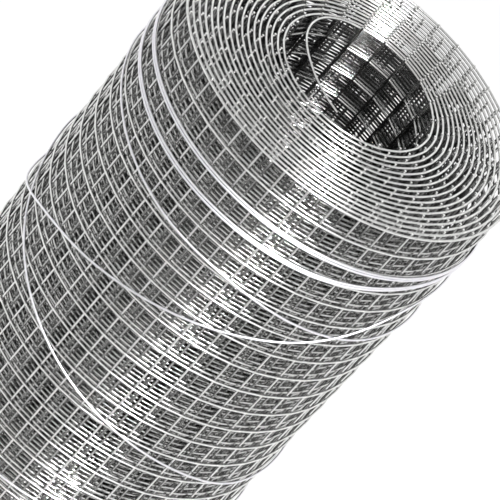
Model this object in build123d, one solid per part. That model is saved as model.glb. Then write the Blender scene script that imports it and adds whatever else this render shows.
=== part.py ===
from build123d import *

import os
from math import cos, pi, radians, sin

# Roll of galvanized welded wire mesh that stands on its end, bound with tie wires.
# Millimetres. The origin is at the middle of the lower end, +Z runs up the roll's axis,
# and an angle is counted from -Y, positive towards +X.

# The mesh
cell = 12.7
cells_across = 48
mesh_wire = 1.07
stub_reach = 1.5

# The roll
roll_radius = 85.25
bore_radius = 37.0
turn_count = 17
groove_depth = 2.5
coning = 2.8

# The tie wires
tie_wire = 1.4
tie_clearance = 0.2
tie_turn_gap = 0.2
crossing_clearance = 0.3
chord_angle = 10
section_sides = 6

# The twist that closes a tie
twist_turns = 1.5
twist_steps = 6
twist_pitch = 8.0
twist_gap = 0.1

# The line of a tie is a list of (angle, depth below the upper end of the outmost turn)
top_double_tie = [(0, 26.7)]
second_double_tie = [
    (-180, 34.5), (-120, 37.0), (-60, 38.3), (-25, 39.4), (0, 38.8), (30, 37.6), (60, 32.2),
    (90, 29.8), (120, 30.5), (150, 32.5),
]
slanting_tie = [
    (-180, 60.0), (-120, 53.0), (-80, 51.0), (-50, 55.0), (-20, 60.0), (10, 61.6),
    (30, 66.0), (60, 70.6), (90, 69.5), (130, 66.0),
]
diagonal_tie = [
    (-180, 96.0), (-130, 127.0), (-100, 144.0), (-85, 144.0), (-70, 136.5), (-60, 127.3),
    (-45, 117.4), (-30, 110.2), (0, 95.5), (20, 86.3), (40, 74.6), (60, 58.2), (70, 49.3),
    (90, 43.5), (110, 46.0), (140, 71.0),
]
low_slanting_tie = [
    (-180, 147.0), (-140, 129.0), (-130, 124.5), (-100, 114.0), (-80, 117.0), (-70, 127.5),
    (-60, 134.3), (-40, 145.0), (-10, 157.9), (20, 167.5), (40, 173.2), (60, 180.6),
    (80, 181.5), (110, 177.0), (140, 165.0),
]
lowest_tie = [(-180, 226.0), (-90, 240.0), (0, 226.7), (90, 212.0)]

# What follows is worked out
sheet_width = cells_across * cell + 2 * stub_reach
turn_pitch = (roll_radius - bore_radius - 2 * mesh_wire) / (turn_count - 1)
tie_radius = (roll_radius + tie_clearance + tie_wire / 2) / cos(radians(chord_angle / 2))
section_radius = tie_wire / 2 * (2 * pi / section_sides / sin(2 * pi / section_sides)) ** 0.5
turn_spacing = tie_wire + tie_turn_gap
hump_height = tie_wire + crossing_clearance
twist_radius = tie_wire / 2 / cos(pi / twist_steps) + twist_gap / 2
twist_lift = tie_wire + twist_radius + twist_gap


def end_outline(level, inward):
    """Points of one end from the bore out: a ridge for each turn, flat on the first and last.

    The level is that of the outmost turn, and the turns stand higher towards the bore.
    """
    points = [(bore_radius, level + coning)]
    for turn in range(turn_count):
        ridge = bore_radius + mesh_wire + turn * turn_pitch
        height = level + coning * (1 - turn / (turn_count - 1))
        points.append((ridge, height))
        if turn < turn_count - 1:
            points.append((ridge + turn_pitch / 2, height + inward * groove_depth))
    points.append((roll_radius, level))
    return points


def make_roll():
    """The wound mesh as one turned body: bore, outside, and its turns on both ends."""
    lower = end_outline(0, 1)
    upper = end_outline(sheet_width, -1)
    outline = Polyline(*lower, *reversed(upper), close=True)
    profile = make_face(Plane.XZ * outline)
    return revolve(profile, Axis.Z)


def depth_at(waypoints, angle):
    """Depth of a tie's line at an angle, straight between waypoints and closed round the roll."""
    angle = (angle + 180) % 360 - 180
    ring = waypoints + [(waypoints[0][0] + 360, waypoints[0][1])]
    if angle < ring[0][0]:
        angle += 360
    for (start, depth), (end, next_depth) in zip(ring, ring[1:]):
        if start <= angle <= end:
            return depth + (next_depth - depth) * (angle - start) / (end - start)
    return waypoints[0][1]


def on_roll(angle, radius, depth):
    """Point at an angle and radius round the roll, at a depth below its outmost turn's end."""
    return Vector(
        radius * sin(radians(angle)), -radius * cos(radians(angle)), sheet_width - depth
    )


def hump(angle, crossings):
    """How far a tie stands off to pass over another: full height at the ends of that chord."""
    for crossing in crossings:
        away = abs((angle - crossing + 180) % 360 - 180)
        if away <= chord_angle / 2:
            return hump_height
    return 0


def twist_strand(join_angle, depth, side, heading):
    """One end of a tie in its twist: a helix beside the roll, along the roll's axis."""
    axis_radius = tie_radius + twist_lift
    centre = on_roll(join_angle, axis_radius, depth)
    outward = Vector(sin(radians(join_angle)), -cos(radians(join_angle)), 0)
    around = Vector(cos(radians(join_angle)), sin(radians(join_angle)), 0)
    points = []
    for step in range(round(twist_turns * twist_steps) + 1):
        turn = 2 * pi * step / twist_steps
        rise = heading * twist_pitch * step / twist_steps
        offset = around * (side * cos(turn)) + outward * (side * sin(turn))
        points.append(centre + offset * twist_radius + Vector(0, 0, rise))
    return points


def tie_route(waypoints, join_angle, heading, passes=1, crossings=()):
    """Route of a tie from one end of its twist round the roll to the other end."""
    middle = (passes - 1) / 2
    per_pass = round(360 / chord_angle)
    join_depth = depth_at(waypoints, join_angle)
    route = list(reversed(twist_strand(join_angle, join_depth, 1, heading)))
    for step in range(passes * per_pass):
        angle = join_angle + chord_angle / 2 + step * chord_angle
        drop = (step // per_pass - middle) * turn_spacing
        radius = tie_radius + hump(angle, crossings)
        route.append(on_roll(angle, radius, depth_at(waypoints, angle) - drop))
    route.extend(twist_strand(join_angle, join_depth, -1, heading))
    return route


def make_wire(route):
    """Solid wire of straight runs along a route, mitred where they meet."""
    along = (route[1] - route[0]).normalized()
    start = Plane(origin=route[0], x_dir=Vector(0, 0, 1) - along * along.Z, z_dir=along)
    section = start * RegularPolygon(section_radius, section_sides)
    return sweep(section, path=Polyline(*route), transition=Transition.RIGHT)


ties = {
    "top_double_tie": tie_route(top_double_tie, 135, 1, passes=2),
    "second_double_tie": tie_route(second_double_tie, -135, -1, passes=2),
    "slanting_tie": tie_route(slanting_tie, -135, -1),
    "diagonal_tie": tie_route(diagonal_tie, 155, -1, crossings=(45, -65, 135, -135)),
    "low_slanting_tie": tie_route(low_slanting_tie, 135, -1),
    "lowest_tie": tie_route(lowest_tie, -135, -1),
}

os.makedirs("parts", exist_ok=True)
roll = make_roll()
export_step(roll, "parts/mesh_roll.step")
for name, route in ties.items():
    export_step(make_wire(route), f"parts/{name}.step")
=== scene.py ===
"""Looks of a roll of galvanized welded wire mesh that stands on its end.

The solid roll of the frame is shown as the real thing: line wires that run round the roll as one
spiral, cross wires along the roll's axis with their cut ends, a weld at each crossing that shows,
the loose end of the edge wire in the bore, and the tie wires with their twists.
All lengths are metres. An angle is counted from -Y, positive towards +X.
"""

import logging
import math
from dataclasses import dataclass, field, replace
from enum import Enum
from random import Random
from typing import Any, Iterable, Sequence

import bmesh
import bpy
from mathutils import Matrix, Vector, noise


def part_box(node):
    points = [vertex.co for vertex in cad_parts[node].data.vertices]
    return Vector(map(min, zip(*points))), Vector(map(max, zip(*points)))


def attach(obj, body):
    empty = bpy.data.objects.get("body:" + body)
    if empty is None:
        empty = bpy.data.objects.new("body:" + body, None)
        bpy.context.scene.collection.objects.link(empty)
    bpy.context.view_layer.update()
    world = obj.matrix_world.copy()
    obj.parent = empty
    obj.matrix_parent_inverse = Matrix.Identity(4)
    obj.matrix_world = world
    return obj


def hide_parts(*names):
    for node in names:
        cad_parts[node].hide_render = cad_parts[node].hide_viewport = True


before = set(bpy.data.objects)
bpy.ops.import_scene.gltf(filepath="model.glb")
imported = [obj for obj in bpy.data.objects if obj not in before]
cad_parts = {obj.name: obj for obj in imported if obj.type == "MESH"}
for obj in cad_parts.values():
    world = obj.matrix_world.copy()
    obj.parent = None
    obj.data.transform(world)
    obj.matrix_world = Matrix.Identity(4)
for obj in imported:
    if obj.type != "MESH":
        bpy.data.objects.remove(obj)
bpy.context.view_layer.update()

LOG = logging.getLogger("mesh_roll")
MM = 0.001
BODY = "root"
SEED = 20


class Slot(Enum):
    """Material slots of the record."""

    MESH = "galvanized_mesh"
    TIE = "tie_wire"


class Signal:
    """A shader socket that Python's operators work on by adding Math nodes."""

    def __init__(self, graph: "Graph", socket: bpy.types.NodeSocket) -> None:
        """Wraps a socket of a graph."""
        self.graph = graph
        self.socket = socket

    def _math(self, operation: str, first: Any, second: Any) -> "Signal":
        """Adds a Math node.

        Args:
            operation: the node's operation.
            first: its first value, a number or a signal.
            second: its second value, a number or a signal.

        Returns:
            The node's result.
        """
        return self.graph.node("ShaderNodeMath", {"operation": operation}, {0: first, 1: second})

    def __add__(self, other: Any) -> "Signal":
        """Sum."""
        return self._math("ADD", self, other)

    __radd__ = __add__

    def __sub__(self, other: Any) -> "Signal":
        """Difference."""
        return self._math("SUBTRACT", self, other)

    def __rsub__(self, other: Any) -> "Signal":
        """Difference, reflected."""
        return self._math("SUBTRACT", other, self)

    def __mul__(self, other: Any) -> "Signal":
        """Product."""
        return self._math("MULTIPLY", self, other)

    __rmul__ = __mul__

    def over(self, other: Any) -> "Signal":
        """The larger of this and another value."""
        return self._math("MAXIMUM", self, other)

    def clipped(self) -> "Signal":
        """This value kept between 0 and 1."""
        return self._math("MINIMUM", self, 1.0).over(0.0)


class Graph:
    """Node tree of a material or world, built by one method."""

    def __init__(self, owner: Any) -> None:
        """Clears the owner's node tree and takes it over."""
        owner.use_nodes = True
        self.tree = owner.node_tree
        self.tree.nodes.clear()

    def node(
        self,
        kind: str,
        settings: dict[str, Any] | None = None,
        inputs: dict[Any, Any] | None = None,
        output: Any = 0,
    ) -> Signal:
        """Adds a node.

        Args:
            kind: the node's type.
            settings: properties that are set first.
            inputs: socket name or number to a value or a signal.
            output: name or number of the output that is wanted.

        Returns:
            The wanted output.
        """
        made = self.tree.nodes.new(kind)
        for name, value in (settings or {}).items():
            setattr(made, name, value)
        for key, value in (inputs or {}).items():
            if isinstance(value, Signal):
                self.tree.links.new(value.socket, made.inputs[key])
            else:
                made.inputs[key].default_value = value
        return Signal(self, made.outputs[output])

    def end(self, kind: str, inputs: dict[Any, Signal]) -> None:
        """Adds the output node of the tree and links it."""
        made = self.tree.nodes.new(kind)
        for key, value in inputs.items():
            self.tree.links.new(value.socket, made.inputs[key])


@dataclass(frozen=True)
class ZincAndPaintedShade:
    """Zinc-coated steel wire: a mottled coat, dull patches and small lumps of zinc.

    Its colour holds painted light on the outside, ends and bore, and painted shade between turns.
    """

    name: str
    bright: tuple[float, float, float]
    dull: tuple[float, float, float]
    smooth: float
    rough: float
    # Levels and reaches of the painted light and the painted shade
    deep_shade: float = 0.085
    facing_contrast: float = 2.0
    side_shade: float = 1.0
    side_reach: float = 30 * MM
    side_level: float = 1.5
    outside_reach: float = 9 * MM
    end_reach: float = 9 * MM
    end_level: float = 1.35
    coning: float = 0.06
    bore_reach: float = 9 * MM
    bore_level: float = 0.8
    mottle_size: float = 6 * MM
    mottle_share: float = 0.65
    dull_start: float = 0.32
    dull_gain: float = 2.6
    lump_size: float = 0.9 * MM
    lump_share: float = 0.7
    lump_height: float = 0.05 * MM
    speck_size: float = 0.3 * MM
    noise_roughness: float = 0.55
    bump_strength: float = 0.35

    def build(self) -> bpy.types.Material:
        """Makes the material.

        Returns:
            The material, with its colour, roughness and bump from Object coordinates.
        """
        material = bpy.data.materials.new(self.name)
        graph = Graph(material)
        place = graph.node("ShaderNodeTexCoord", output="Object")
        mottle = self.noise(graph, place, self.mottle_size, detail=3)
        grain = self.noise(graph, place, self.lump_size, detail=2)
        speck = self.noise(graph, place, self.speck_size, detail=1)
        patches = mottle * self.mottle_share + grain * (1 - self.mottle_share)
        dullness = ((patches - self.dull_start) * self.dull_gain).clipped()
        coat = self.blend(graph, dullness, self.bright, self.dull)
        # Painted light and shade: the coat shows in full where the roll is open, painted darker
        # between turns.
        painted_light, shade = self.painted_light(graph, place)
        black = (0.0, 0.0, 0.0)
        painted_shade_colour = self.blend(graph, shade, black, self.dull)
        colour = self.blend(graph, painted_light, painted_shade_colour, coat)
        spread = self.rough - self.smooth
        roughness = (mottle + speck) * (spread / 2) + self.smooth
        bump = graph.node(
            "ShaderNodeBump",
            None,
            {
                "Strength": self.bump_strength,
                "Distance": self.lump_height,
                "Height": grain * self.lump_share + speck * (1 - self.lump_share),
            },
        )
        surface = graph.node(
            "ShaderNodeBsdfPrincipled",
            None,
            {"Base Color": colour, "Roughness": roughness, "Metallic": 1.0, "Normal": bump},
        )
        graph.end("ShaderNodeOutputMaterial", {"Surface": surface})
        return material

    def painted_light(self, graph: Graph, place: Signal) -> tuple[Signal, Signal]:
        """How much painted light a place gets, standing for how open to the light it is.

        Returns:
            The share of painted light: 1 on the roll's outside, ends and bore, falling to 0
                between
            the turns; and the colour the painted shade leaves there, most where a wire faces out.
        """
        low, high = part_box("mesh_roll")
        flat = graph.node(
            "ShaderNodeVectorMath", {"operation": "MULTIPLY"}, {0: place, 1: (1, 1, 0)}
        )
        radius = graph.node("ShaderNodeVectorMath", {"operation": "LENGTH"}, {0: flat}, "Value")
        height = graph.node("ShaderNodeSeparateXYZ", None, {"Vector": place}, "Z")
        radial = graph.node("ShaderNodeVectorMath", {"operation": "NORMALIZE"}, {0: flat})
        facing = graph.node(
            "ShaderNodeVectorMath",
            {"operation": "DOT_PRODUCT"},
            {0: graph.node("ShaderNodeTexCoord", output="Normal"), 1: radial},
            "Value",
        )
        # Painted shade: the side of a wire that faces into the roll is painted darker.
        outward = (facing * self.facing_contrast + 1).clipped()
        inwards = high.x - radius
        outside = (1 - inwards * (1 / self.outside_reach)) * outward
        below = high.z - height
        upper = self.end_level - (below - inwards * self.coning) * (1 / self.end_reach)
        lower = self.end_level - (height - low.z) * (1 / self.end_reach)
        bore = self.bore_level - (radius - Winding.bore_radius) * (1 / self.bore_reach)
        side = (self.side_level - inwards * (1 / self.side_reach)).clipped() * outward
        down = (below * (1 / self.side_reach)).clipped()
        shade = side * down * self.side_shade + self.deep_shade
        return outside.over(upper).over(lower).over(bore).clipped(), shade

    @staticmethod
    def blend(graph: Graph, share: Signal, first: Any, second: Any) -> Signal:
        """Colour between two, each a colour or a signal."""
        ends = [
            value if isinstance(value, Signal) else (*value, 1.0) for value in (first, second)
        ]
        return graph.node(
            "ShaderNodeMix",
            {"data_type": "RGBA"},
            {"Factor": share, 6: ends[0], 7: ends[1]},
            output=2,
        )

    def noise(self, graph: Graph, place: Signal, size: float, detail: float) -> Signal:
        """Adds a noise whose lumps are of a size, in metres."""
        return graph.node(
            "ShaderNodeTexNoise",
            None,
            {
                "Vector": place,
                "Scale": 1 / size,
                "Detail": detail,
                "Roughness": self.noise_roughness,
            },
        )


# Zinc of the line wires, with painted light and painted shade.
WIRE_ZINC_AND_SHADE = ZincAndPaintedShade(
    "wire_zinc_and_shade", bright=(0.92, 0.92, 0.91), dull=(0.66, 0.66, 0.65), smooth=0.13, rough=0.28
)
# The cross wires get more painted shade between the turns and little painted light in the bore.
CROSS_ZINC_AND_SHADE = replace(
    WIRE_ZINC_AND_SHADE, name="cross_zinc_and_shade", side_shade=0.5, outside_reach=4 * MM, bore_level=0.1
)
# Painted shade: real weld beads, coloured near black for the line wire's shade on the cross wire.
WELD_PAINTED_SHADE = ZincAndPaintedShade(
    "weld_painted_shade", bright=(0.2, 0.2, 0.2), dull=(0.1, 0.1, 0.1), smooth=0.35, rough=0.6
)
# The ties get the same painted shade, dark on the side that lies against the roll.
TIE_ZINC_AND_SHADE = ZincAndPaintedShade(
    "tie_zinc_and_shade", bright=(0.98, 0.97, 1.0), dull=(0.84, 0.83, 0.88), smooth=0.25, rough=0.4
)


def around(angle: float, radius: float, height: float) -> Vector:
    """Point at an angle in radians and a radius round the roll's axis, at a height."""
    return Vector((radius * math.sin(angle), -radius * math.cos(angle), height))


def smooth_step(value: float) -> float:
    """Eases from 0 to 1 as the value does."""
    value = min(max(value, 0.0), 1.0)
    return value * value * (3 - 2 * value)


def rounded(points: Sequence[Vector], steps: int) -> list[Vector]:
    """Smooth run through points.

    Args:
        points: the points that it passes through.
        steps: how many straight steps there are from one point to the next.

    Returns:
        The points of the run.
    """
    run = []
    padded = [points[0] * 2 - points[1], *points, points[-1] * 2 - points[-2]]
    for before, start, end, after in zip(padded, padded[1:], padded[2:], padded[3:]):
        for step in range(steps):
            share = step / steps
            curve = (
                start * 2
                + (end - before) * share
                + (before * 2 - start * 5 + end * 4 - after) * share**2
                + (start * 3 - before - end * 3 + after) * share**3
            )
            run.append(curve / 2)
    return [*run, points[-1]]


def tube_mesh(
    name: str, runs: Iterable[Sequence[Vector]], diameter: float, rings: int
) -> bpy.types.Mesh:
    """Makes round wires along runs of points.

    Args:
        name: name of the mesh.
        runs: one list of points for each wire.
        diameter: the wires' diameter.
        rings: the curve's bevel resolution; a wire has four sides and two more for each.

    Returns:
        A mesh of closed tubes, shaded smooth.
    """
    curve = bpy.data.curves.new(name, "CURVE")
    curve.dimensions = "3D"
    curve.bevel_depth = diameter / 2
    curve.bevel_resolution = rings
    curve.use_fill_caps = True
    for run in runs:
        spline = curve.splines.new("POLY")
        spline.points.add(len(run) - 1)
        spline.points.foreach_set("co", [value for point in run for value in (*point, 1.0)])
        spline.use_smooth = True
    holder = bpy.data.objects.new(name, curve)
    bpy.context.scene.collection.objects.link(holder)
    bpy.context.view_layer.update()
    mesh = bpy.data.meshes.new_from_object(
        holder.evaluated_get(bpy.context.evaluated_depsgraph_get())
    )
    bpy.data.objects.remove(holder)
    bpy.data.curves.remove(curve)
    return mesh


def add_piece(
    name: str, mesh: bpy.types.Mesh, finish: bpy.types.Material, node: str
) -> bpy.types.Object:
    """Puts a mesh in the scene as a piece of the object.

    Args:
        name: the piece's name.
        mesh: its mesh, in place.
        finish: its material.
        node: the solid that it stands for.

    Returns:
        The piece.
    """
    mesh.materials.clear()
    mesh.materials.append(finish)
    mesh.name = name
    piece = bpy.data.objects.new(name, mesh)
    bpy.context.scene.collection.objects.link(piece)
    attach(piece, BODY)
    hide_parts(node)
    triangles = sum(len(face.vertices) - 2 for face in mesh.polygons)
    LOG.info("%s: %d triangles", name, triangles)
    return piece


@dataclass
class Winding:
    """The spiral that the sheet is wound in, as places of its cross wires from the outside in.

    Each turn is a circle round most of the roll and steps in by one pitch at the back left.
    """

    bore_radius: float = 37.0 * MM
    roll_radius: float = 85.25 * MM
    turns: int = 17
    cell: float = 12.7 * MM
    wire: float = 1.07 * MM
    weld_bite: float = 0.15
    outer_end_angle: float = math.radians(-144.85)
    inner_end_angle: float = math.radians(208)
    climb_start: float = math.radians(160)
    climb_width: float = math.radians(90)
    bore_shift: float = 0.6 * MM
    shift_angle: float = math.radians(50)
    shift_turns: float = 6.0
    waver: float = 0.15 * MM
    waver_rate: float = 5.0 / 6.28
    waver_place: tuple[float, float] = (3.7, 1.3)
    slack: float = 0.009
    slack_start: float = math.radians(90)
    nest_start: float = 6.5 * math.tau
    nest_drift: float = 0.03
    mean_steps: int = 12
    nodes: list[tuple[float, float]] = field(default_factory=list)

    def __post_init__(self) -> None:
        """Steps the cross wires inwards, one cell's chord apart."""
        self.line_offset = self.wire * (1 - self.weld_bite)
        self.inner_line = self.bore_radius + self.wire / 2 + self.line_offset
        self.outer_line = self.roll_radius - self.wire / 2
        self.turn_pitch = (self.outer_line - self.inner_line) / (self.turns - 1)
        inner_end = math.tau * (self.turns - 1) + self.inner_end_angle
        travelled = self.outer_end_angle
        while travelled < inner_end:
            self.nodes.append((travelled, self.radius(travelled)))
            travelled += self.cell_angle(travelled)

    def cell_angle(self, travelled: float) -> float:
        """Angle from a cross wire to the next.

        The sheet has a little slack behind the front of the outmost turn, and an inner turn holds
        about a whole number of cells, so that its cross wires nest behind the next turn's.
        """
        radius = self.radius(travelled)
        if travelled < self.nest_start:
            slack = self.slack if travelled > self.slack_start else 0.0
            return 2 * math.asin(self.cell * (1 - slack) / 2 / radius)
        start = travelled - (travelled - self.nest_start) % math.tau
        places = [start + math.tau * step / self.mean_steps for step in range(self.mean_steps)]
        mean = sum(self.radius(place) for place in places) / self.mean_steps
        cells = math.ceil(math.tau * mean / self.cell)
        return math.tau / (cells + self.nest_drift) * mean / radius

    def depth(self, travelled: float) -> float:
        """How many turns lie outside a place on the sheet, whole on the front of the roll."""
        past_start = travelled - self.climb_start
        whole = math.floor(past_start / math.tau)
        part = past_start - whole * math.tau
        return whole + smooth_step(part / self.climb_width) if whole >= 0 else 0.0

    def radius(self, travelled: float) -> float:
        """Radius of the line wires' middle at a travelled angle."""
        depth = self.depth(travelled)
        place = Vector((travelled * self.waver_rate, *self.waver_place))
        loose = noise.noise(place) * min(1.0, depth)
        shift = self.bore_shift * min(1.0, depth / self.shift_turns)
        off_centre = shift * math.cos(travelled - self.shift_angle)
        return self.outer_line - depth * self.turn_pitch + self.waver * loose + off_centre

    def turn_of(self, index: int) -> int:
        """Which turn a cross wire is in, counted from the outside."""
        return int(self.depth(self.nodes[index][0]) + 0.5)


@dataclass(frozen=True)
class WireGrade:
    """How finely the line wires of some turns are made.

    The shares say where on the way across a cell the points lie, from 0 to 1, and the crown how
    much of a round turn's bulge the wire keeps between two welds.
    """

    name: str
    first_turn: int
    last_turn: int
    shares: tuple[float, ...]
    rings: int
    crown: float = 0.25
    at_edge: bool = False


FULL = (0.0, 0.12, 0.5, 0.88)
KINKED = (0.0, 0.12, 0.88)
PLAIN = (0.1, 0.9)
EVEN = (0.0, 0.2, 0.4, 0.6, 0.8)
GRADES = (
    WireGrade("outmost_turn_line_wires", 0, 0, FULL, rings=2),
    WireGrade("outer_turns_line_wires", 1, 2, KINKED, rings=1),
    WireGrade("third_to_sixth_turn_line_wires", 3, 6, PLAIN, rings=0),
    WireGrade("middle_turns_line_wires", 7, 11, PLAIN, rings=0),
    WireGrade("inner_turns_line_wires", 12, 16, PLAIN, rings=1),
    WireGrade("edge_wires", 0, 16, EVEN, rings=2, crown=0.75, at_edge=True),
)

# Bow of the rows: row counted from the upper edge, rise at the front and skew in millimetres
BOW = (
    (0, -0.2, 0.2), (2, 0.2, 0.6), (4, 0.7, 0.9), (6, 1.3, 1.1), (8, 0.9, 1.2), (10, 0.2, 1.2),
    (12, -0.2, 1.1), (13, -0.7, 1.1), (14, -1.5, 1.0), (16, -2.4, 1.0), (27, 0.0, 0.0),
)


@dataclass
class Sheet:
    """The wires of the sheet, wound up."""

    winding: Winding
    width_cells: int = 48
    stub_reach: float = 1.5 * MM
    coning: float = 2.5 * MM
    coning_power: float = 1.4
    drift: float = 0.3 * MM
    drift_rate: float = 0.23
    drift_place: tuple[float, float] = (8.1, 0.4)
    drift_onset: float = 4.0
    row_error: float = 0.12 * MM
    cut_error: float = 0.35 * MM
    bow: tuple[tuple[float, float, float], ...] = BOW

    def __post_init__(self) -> None:
        """Draws the small errors of the rows and of the cut ends."""
        draw = Random(SEED)
        rows = self.width_cells + 1
        self.row_shift = [draw.uniform(-self.row_error, self.row_error) for _ in range(rows)]
        self.cuts = [
            (draw.uniform(0, self.cut_error), draw.uniform(0, self.cut_error))
            for _ in self.winding.nodes
        ]

    def lift(self, travelled: float) -> float:
        """How much higher than the outer end the sheet stands at a travelled angle."""
        share = self.winding.depth(travelled) / (self.winding.turns - 1)
        waver = noise.noise(Vector((travelled * self.drift_rate, *self.drift_place))) + 0.5
        loose = min(max(waver, 0.0), 1.0) * min(share * self.drift_onset, 1.0)
        return self.coning * share**self.coning_power + self.drift * loose

    def row_height(self, row: int) -> float:
        """Height of a line wire in the outer turn, counted up from the lower edge."""
        return self.stub_reach + row * self.winding.cell + self.row_shift[row]

    def bowed(self, row: int, angle: float) -> float:
        """How much higher than straight a line wire runs at an angle."""
        from_top = self.width_cells - row
        for (first, rise, skew), (last, next_rise, next_skew) in zip(self.bow, self.bow[1:]):
            if first <= from_top <= last:
                share = (from_top - first) / (last - first)
                middle = rise + (next_rise - rise) * share
                return (middle + (skew + (next_skew - skew) * share) * math.sin(angle)) * MM
        return 0.0

    def wire_height(self, row: int, angle: float) -> float:
        """Height of a line wire at a travelled angle."""
        return self.row_height(row) + self.lift(angle) + self.bowed(row, angle)

    def line_run(self, row: int, start: int, stop: int, grade: WireGrade) -> list[Vector]:
        """Points of a line wire between two cross wires.

        Args:
            row: the line wire.
            start: its first cross wire.
            stop: its last cross wire.
            grade: how finely it is made.

        Returns:
            The points, with a slight kink at each weld.
        """
        points = []
        places = self.winding.nodes[start : stop + 1]
        for (angle, radius), (next_angle, next_radius) in zip(places, places[1:]):
            sagitta = radius * (1 - math.cos((next_angle - angle) / 2))
            here = around(angle, radius, self.wire_height(row, angle))
            there = around(next_angle, next_radius, self.wire_height(row, next_angle))
            outward = around((angle + next_angle) / 2, 1.0, 0.0)
            for share in grade.shares:
                crown = 4 * share * (1 - share) * sagitta * grade.crown
                points.append(here.lerp(there, share) + outward * crown)
        angle, radius = places[-1]
        points.append(around(angle, radius, self.wire_height(row, angle)))
        return points

    def cross_run(self, index: int) -> list[Vector]:
        """The two ends of a cross wire."""
        angle, radius = self.winding.nodes[index]
        radius -= self.winding.line_offset
        low_cut, high_cut = self.cuts[index]
        lift = self.lift(angle)
        top = self.width_cells * self.winding.cell + 2 * self.stub_reach
        low = around(angle, radius, lift + low_cut)
        high = around(angle, radius, lift + top - high_cut)
        return [low, high]


# Loose end of the edge wire: angle in degrees, radius and drop in millimetres
LOOSE_KNOTS = (
    (-145, 36.9, 0.1), (-133, 36.6, 0.3), (-122, 35.6, 0.4), (-110, 33.5, 0.5),
    (-97, 30.8, 0.6), (-84, 28.0, 0.7), (-70, 25.6, 0.8), (-55, 24.0, 0.9),
    (-40, 23.7, 1.0), (-25, 24.0, 1.2), (-12, 25.2, 1.4), (0, 26.8, 1.6), (4, 27.6, 1.7),
)


@dataclass
class MeshPieces:
    """The pieces that show the sheet."""

    sheet: Sheet
    node: str = "mesh_roll"
    weld_radius: float = 0.62 * MM
    # Tall, raised beads, so their painted shade covers the cross wire just above each line wire.
    weld_shape: tuple[float, float, float] = (1.0, 0.92, 2.1)
    weld_rise: float = 0.35 * MM
    weld_depth: float = 0.7
    edge_weld_shape: tuple[float, float, float] = (1.1, 0.9, 1.1)
    weld_turns: tuple[int, ...] = (0, 1, 16)
    cross_rings: int = 2
    loose_rings: int = 3
    loose_steps: int = 6

    def build(self) -> None:
        """Makes the line wires, the cross wires and the welds."""
        zinc = WIRE_ZINC_AND_SHADE.build()
        cross_zinc_and_shade = CROSS_ZINC_AND_SHADE.build()
        weld_painted_shade = WELD_PAINTED_SHADE.build()
        nodes = self.sheet.winding.nodes
        wire = self.sheet.winding.wire
        top = self.sheet.width_cells
        for grade in GRADES:
            start, stop = self.span(grade)
            rows = (0, top) if grade.at_edge else range(1, top)
            runs = [self.sheet.line_run(row, start, stop, grade) for row in rows]
            mesh = tube_mesh(grade.name, runs, wire, grade.rings)
            add_piece(grade.name, mesh, zinc, self.node)
        cross = [self.sheet.cross_run(index) for index in range(len(nodes))]
        mesh = tube_mesh("cross_wires", cross, wire, self.cross_rings)
        add_piece("cross_wires", mesh, cross_zinc_and_shade, self.node)
        add_piece("welds", self.weld_mesh(), weld_painted_shade, self.node)
        mesh = tube_mesh("loose_edge_wire", [self.loose_run()], wire, self.loose_rings)
        add_piece("loose_edge_wire", mesh, zinc, self.node)

    def loose_run(self) -> list[Vector]:
        """The end of the upper edge wire, which has sprung free and curls into the bore."""
        sheet = self.sheet
        angle, radius = sheet.winding.nodes[-1]
        height = sheet.wire_height(sheet.width_cells, angle)
        turn = angle % math.tau - math.tau
        knots = [(turn, radius, 0.0)]
        knots += [(math.radians(at), far * MM, drop * MM) for at, far, drop in LOOSE_KNOTS]
        points = [around(at, far, height - drop) for at, far, drop in knots]
        return rounded(points, self.loose_steps)

    def span(self, grade: WireGrade) -> tuple[int, int]:
        """First and last cross wire of a grade's turns, the last shared with the next grade."""
        winding = self.sheet.winding
        inside = [
            index
            for index in range(len(winding.nodes))
            if grade.first_turn <= winding.turn_of(index) <= grade.last_turn
        ]
        return inside[0], min(inside[-1] + 1, len(winding.nodes) - 1)

    def weld_mesh(self) -> bpy.types.Mesh:
        """Zinc beads where wires cross, on the turns and edge that show; painted dark as shade.
        """
        sheet = self.sheet
        winding = sheet.winding
        rows = sheet.width_cells + 1
        template = bmesh.new()
        bmesh.ops.create_icosphere(template, subdivisions=1, radius=self.weld_radius)
        corners = [corner.co.copy() for corner in template.verts]
        faces = [[corner.index for corner in face.verts] for face in template.faces]
        template.free()
        points: list[Vector] = []
        sides: list[list[int]] = []
        for index, (angle, radius) in enumerate(winding.nodes):
            shown = range(rows) if winding.turn_of(index) in self.weld_turns else (0, rows - 1)
            facing = Matrix.Rotation(angle, 4, "Z")
            for row in shown:
                at_edge = row in (0, rows - 1)
                stretch = self.edge_weld_shape if at_edge else self.weld_shape
                shape = facing @ Matrix.Diagonal((*stretch, 1.0))
                height = sheet.wire_height(row, angle)
                rise = 0.0 if at_edge else self.weld_rise
                inwards = winding.line_offset * self.weld_depth
                middle = around(angle, radius - inwards, height + rise)
                first = len(points)
                points.extend(middle + shape @ corner for corner in corners)
                sides.extend([first + corner for corner in face] for face in faces)
        mesh = bpy.data.meshes.new("welds")
        mesh.from_pydata(points, [], sides)
        mesh.shade_smooth()
        return mesh


# Places, in degrees, whose depths are averaged to round off a tie's corners
ROUNDING = (-9, -6, -3, 0, 3, 6, 9)


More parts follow.
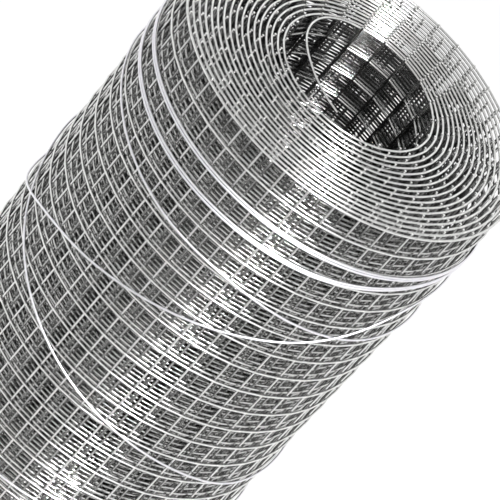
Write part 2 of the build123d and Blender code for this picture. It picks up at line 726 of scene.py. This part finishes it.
@dataclass(frozen=True)
class Tie:
    """One tie wire.

    The line is a list of (angle in degrees, depth in millimetres below the outmost turn's end).
    """

    name: str
    line: tuple[tuple[float, float], ...]
    join_angle: float
    heading: int = -1
    passes: int = 1
    crossings: tuple[float, ...] = ()

    def straight_depth(self, angle: float) -> float:
        """Depth at an angle in degrees on straight runs between the line's points."""
        ring = [*self.line, (self.line[0][0] + 360, self.line[0][1])]
        angle = (angle - ring[0][0]) % 360 + ring[0][0]
        for (start, depth), (end, next_depth) in zip(ring, ring[1:]):
            if start <= angle <= end:
                return depth + (next_depth - depth) * (angle - start) / (end - start)
        return self.line[0][1]

    def depth(self, angle: float) -> float:
        """Depth at an angle in degrees, with the line's corners rounded off."""
        return sum(self.straight_depth(angle + offset) for offset in ROUNDING) / len(ROUNDING)


TIES = (
    Tie("top_double_tie", ((0, 26.7),), join_angle=135, heading=1, passes=2),
    Tie(
        "second_double_tie",
        (
            (-180, 34.5), (-120, 37.0), (-60, 38.3), (-25, 39.4), (0, 38.8), (30, 37.6),
            (60, 32.2), (90, 29.8), (120, 30.5), (150, 32.5),
        ),
        join_angle=-135,
        passes=2,
    ),
    Tie(
        "slanting_tie",
        (
            (-180, 60.0), (-120, 53.0), (-80, 51.0), (-50, 55.0), (-20, 60.0), (10, 61.6),
            (30, 66.0), (60, 70.6), (90, 69.5), (130, 66.0),
        ),
        join_angle=-135,
    ),
    Tie(
        "diagonal_tie",
        (
            (-180, 96.0), (-130, 127.0), (-100, 144.0), (-85, 144.0), (-70, 136.5),
            (-60, 127.3), (-45, 117.4), (-30, 110.2), (0, 95.5), (20, 86.3), (40, 74.6),
            (60, 58.2), (70, 49.3), (90, 43.5), (110, 46.0), (140, 71.0),
        ),
        join_angle=155,
        crossings=(45, -65, 135, -135),
    ),
    Tie(
        "low_slanting_tie",
        (
            (-180, 147.0), (-140, 129.0), (-130, 124.5), (-100, 114.0), (-80, 117.0),
            (-70, 127.5), (-60, 134.3), (-40, 145.0), (-10, 157.9), (20, 167.5),
            (40, 173.2), (60, 180.6), (80, 181.5), (110, 177.0), (140, 165.0),
        ),
        join_angle=135,
    ),
    Tie(
        "lowest_tie",
        ((-180, 226.0), (-90, 240.0), (0, 226.7), (90, 212.0)),
        join_angle=-135,
    ),
)


@dataclass
class TieWires:
    """The tie wires, each bent tight round the roll and twisted shut at the back."""

    winding: Winding
    wire: float = 1.0 * MM
    sheet_width: float = 612.6 * MM
    clearance: float = 0.2 * MM
    turn_gap: float = 0.4 * MM
    crossing_gap: float = 0.05 * MM
    step_angle: float = 3.0
    hump_reach: float = 26.0
    hump_top: float = 2.0
    end_reach: float = 5.0
    strand_radius: float = 0.56
    twist_stand_off: float = 1.5
    twist_clearance: float = 0.1 * MM
    twist_turns: float = 1.5
    twist_pitch: float = 8.0 * MM
    twist_steps: int = 12
    rings: int = 4

    def build(self) -> None:
        """Makes each tie."""
        zinc = TIE_ZINC_AND_SHADE.build()
        for tie in TIES:
            mesh = tube_mesh(tie.name, [self.route(tie)], self.wire, self.rings)
            add_piece(tie.name + "_wire", mesh, zinc, tie.name)

    def height(self, depth: float) -> float:
        """Height of a depth in millimetres below the outmost turn's end."""
        return self.sheet_width - depth * MM

    def hump(self, tie: Tie, angle: float) -> float:
        """How far a tie stands off where it passes over another."""
        full = self.wire + self.crossing_gap
        for crossing in tie.crossings:
            away = abs((angle - crossing + 180) % 360 - 180)
            if away < self.hump_reach:
                flank = self.hump_reach - self.hump_top
                return full * smooth_step((self.hump_reach - away) / flank)
        return 0.0

    def strand(self, tie: Tie, side: int) -> list[Vector]:
        """One end of a tie in its twist.

        Args:
            tie: the tie.
            side: 1 for its first end and -1 for its last.

        Returns:
            The points from the roll outwards.
        """
        radius = self.wire * self.strand_radius
        stand_off = self.clearance + self.wire * self.twist_stand_off + self.twist_clearance
        middle = self.winding.roll_radius + stand_off + radius
        join = math.radians(tie.join_angle)
        centre = around(join, middle, self.height(tie.depth(tie.join_angle)))
        outward = around(join, 1.0, 0.0)
        aside = Vector((math.cos(join), math.sin(join), 0.0))
        points = []
        for step in range(round(self.twist_turns * self.twist_steps) + 1):
            turn = math.tau * step / self.twist_steps
            rise = tie.heading * self.twist_pitch * step / self.twist_steps
            offset = (aside * math.cos(turn) + outward * math.sin(turn)) * side * radius
            points.append(centre + offset + Vector((0, 0, rise)))
        return points

    def route(self, tie: Tie) -> list[Vector]:
        """Points of a tie from one end of its twist to the other."""
        base = self.winding.roll_radius + self.clearance + self.wire / 2
        spacing = self.wire + self.turn_gap
        middle = (tie.passes - 1) / 2
        points = self.strand(tie, 1)[::-1]
        start = tie.join_angle + self.end_reach
        stop = tie.join_angle + 360 * tie.passes - self.end_reach
        count = round((stop - start) / self.step_angle)
        for step in range(count + 1):
            angle = start + (stop - start) * step / count
            travelled = (angle - tie.join_angle) / 360
            change = smooth_step((travelled - 1) * 360 / (2 * self.end_reach) + 0.5)
            drop = ((change if tie.passes > 1 else 0.0) - middle) * spacing
            height = self.height(tie.depth(angle)) + drop
            place = math.radians(angle)
            points.append(around(place, base + self.hump(tie, angle), height))
        return points + self.strand(tie, -1)


@dataclass(frozen=True)
class Lamp:
    """A round soft light that is aimed at the middle of the roll's upper part."""

    name: str
    azimuth: float
    elevation: float
    size: float
    power: float
    distance: float = 2.4

    def build(self, aim: Vector) -> None:
        """Makes the lamp.

        Args:
            aim: the point that it shines at.
        """
        data = bpy.data.lights.new(self.name, "AREA")
        data.shape = "DISK"
        data.size = self.size
        data.energy = self.power
        holder = bpy.data.objects.new(self.name, data)
        flat = self.distance * math.cos(math.radians(self.elevation))
        rise = self.distance * math.sin(math.radians(self.elevation))
        holder.location = aim + around(math.radians(self.azimuth), flat, rise)
        holder.rotation_mode = "QUATERNION"
        holder.rotation_quaternion = (aim - holder.location).to_track_quat("-Z", "Y")
        bpy.context.scene.collection.objects.link(holder)


KEY_LAMP = Lamp("key", azimuth=30.0, elevation=55.0, size=0.22, power=140.0)


@dataclass
class Studio:
    """Pale floor with painted shade, a white backdrop with a dimmer room above, and the lamp."""

    floor_reach: float = 9.0
    floor_shade: float = 0.8
    floor_glow: float = 1.3
    glow_share: float = 0.8
    room_light: float = 0.2
    far_painted_level: float = 0.65
    near_floor_reach: float = 0.65
    floor_fade: float = 1.4
    front_start: float = 0.3
    front_fade: float = 2.0
    front_painted_shade: float = 0.6
    painted_shadow_radius: float = 0.12
    painted_shadow_fade: float = 6.0
    fill: float = 0.5
    backdrop_top: float = 0.6
    backdrop_fade: float = 5.0
    aim_below_top: float = 0.1

    def build(self) -> None:
        """Makes the floor, the world and the lamp."""
        self.floor()
        self.world()
        KEY_LAMP.build(Vector((0, 0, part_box("mesh_roll")[1].z - self.aim_below_top)))

    @staticmethod
    def seen(graph: Graph) -> tuple[Signal, Signal]:
        """How a ray of light sees the surroundings.

        Returns:
            1 for a camera ray, and 1 for a reflection or a transmission.
        """
        path = "ShaderNodeLightPath"
        camera = graph.node(path, output="Is Camera Ray")
        glossy = graph.node(path, output="Is Glossy Ray")
        through = graph.node(path, output="Is Transmission Ray")
        return camera, glossy.over(through)

    def floor(self) -> None:
        """A wide floor that shows white, keeps the roll's shadow, and has painted shade in
        reflections.
        """
        shape = bmesh.new()
        bmesh.ops.create_grid(shape, x_segments=1, y_segments=1, size=self.floor_reach)
        mesh = bpy.data.meshes.new("floor")
        shape.to_mesh(mesh)
        shape.free()
        material = bpy.data.materials.new("pale_floor")
        graph = Graph(material)
        shade = (self.floor_shade, self.floor_shade, self.floor_shade, 1)
        matt = graph.node("ShaderNodeBsdfDiffuse", None, {"Color": shade})
        place = graph.node("ShaderNodeTexCoord", output="Object")
        reach = graph.node("ShaderNodeVectorMath", {"operation": "LENGTH"}, {0: place}, "Value")
        # Glow seen in reflections: a painted shadow under the roll,
        # painted shade in front of it, and painted light that fades further off.
        away = ((reach - self.near_floor_reach) * self.floor_fade).clipped()
        past_painted_shadow = ((reach - self.painted_shadow_radius) * self.painted_shadow_fade).clipped()
        depth = graph.node("ShaderNodeSeparateXYZ", None, {"Vector": place}, output="Y")
        front = ((depth * -1 - reach * self.front_start) * self.front_fade).clipped()
        camera, mirrored = self.seen(graph)
        pale = past_painted_shadow * (1 - away * (1 - self.far_painted_level)) * (1 - front * self.front_painted_shade)
        level = camera + (1 - camera) * pale * self.floor_glow
        glow = graph.node("ShaderNodeEmission", None, {"Color": (1, 1, 1, 1), "Strength": level})
        share = camera.over(mirrored) * self.glow_share
        mixed = graph.node("ShaderNodeMixShader", None, {0: share, 1: matt, 2: glow})
        graph.end("ShaderNodeOutputMaterial", {"Surface": mixed})
        mesh.materials.append(material)
        floor = bpy.data.objects.new("floor", mesh)
        bpy.context.scene.collection.objects.link(floor)

    def world(self) -> None:
        """White surroundings: reflections see them as a backdrop with a dimmer room above."""
        world = bpy.data.worlds.new("surroundings")
        bpy.context.scene.world = world
        graph = Graph(world)
        camera, mirrored = self.seen(graph)
        place = graph.node("ShaderNodeTexCoord", output="Generated")
        height = graph.node("ShaderNodeSeparateXYZ", None, {"Vector": place}, output="Z")
        above = ((height - self.backdrop_top) * self.backdrop_fade).clipped()
        backdrop = 1 - above * (1 - self.room_light)
        strength = camera.over(mirrored * backdrop).over(self.fill)
        sky = graph.node(
            "ShaderNodeBackground", None, {"Color": (1, 1, 1, 1), "Strength": strength}
        )
        graph.end("ShaderNodeOutputWorld", {"Surface": sky})


@dataclass
class PhotoCamera:
    """Camera at the photograph's place, looking down on the upper end with the picture turned."""

    distance: float = 1373.8 * MM
    elevation: float = 32.189
    aim_right: float = 12.72 * MM
    aim_down: float = 84.43 * MM
    picture_turn: float = 41.571
    lens: float = 229.84
    sensor: float = 36.0
    rim_below_top: float = 0.2 * MM
    nearest: float = 0.05
    farthest: float = 50.0

    def build(self) -> None:
        """Makes the camera and sets it as the scene's."""
        data = bpy.data.cameras.new("photo_camera")
        data.sensor_width = self.sensor
        data.lens = self.lens
        data.clip_start = self.nearest
        data.clip_end = self.farthest
        tilt = math.radians(self.elevation)
        rim = Vector((0, 0, TieWires.sheet_width - self.rim_below_top))
        place = rim + around(0.0, math.cos(tilt), math.sin(tilt)) * self.distance
        up = Vector((0, math.sin(tilt), math.cos(tilt)))
        aim = rim + Vector((self.aim_right, 0, 0)) - up * self.aim_down
        back = (place - aim).normalized()
        right = Vector((0, 0, 1)).cross(back).normalized()
        turn = Matrix.Rotation(math.radians(self.picture_turn), 3, "Z")
        axes = Matrix((right, back.cross(right), back)).transposed() @ turn
        camera = bpy.data.objects.new("photo_camera", data)
        camera.matrix_world = Matrix.Translation(place) @ axes.to_4x4()
        bpy.context.scene.collection.objects.link(camera)
        bpy.context.scene.camera = camera


def main() -> None:
    """Builds the pieces, the studio and the camera."""
    logging.basicConfig(level=logging.INFO, format="%(message)s")
    winding = Winding()
    sheet = Sheet(winding)
    LOG.info("%d cross wires, turn pitch %.2f mm", len(winding.nodes), winding.turn_pitch / MM)
    MeshPieces(sheet).build()
    TieWires(winding).build()
    Studio().build()
    PhotoCamera().build()


if __name__ == "__main__":
    bpy.context.scene.view_settings.view_transform = "Standard"
    main()
